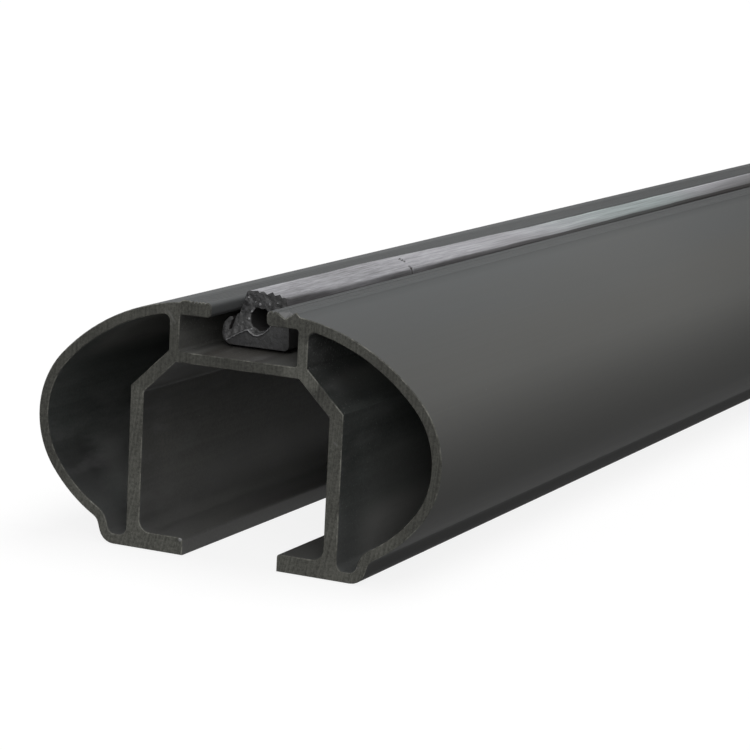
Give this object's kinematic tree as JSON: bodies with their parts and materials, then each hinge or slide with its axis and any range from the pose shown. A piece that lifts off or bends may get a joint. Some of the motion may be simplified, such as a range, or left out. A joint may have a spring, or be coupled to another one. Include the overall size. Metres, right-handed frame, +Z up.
{
  "type": "roof rack crossbar",
  "caption": "Hollow wing-section aluminium roof rack crossbar, open along its underside, with a ridged rubber infill strip in the accessory slot along its top.",
  "frame": {"origin": "on the ground under the middle of the bar, halfway along it and halfway across it", "axes": "+X across the bar, +Y along it away from the end that the picture shows, +Z up from its feet to the accessory slot"},
  "size_m": [0.082, 1.2, 0.0483],
  "materials": {
    "dark_anodised_aluminium": "satin anodised",
    "infill_rubber": "matte"
  },
  "bodies": {
    "root": {"crossbar_extrusion": "dark_anodised_aluminium", "rubber_infill_strip": "infill_rubber"}
  },
  "joints": []
}
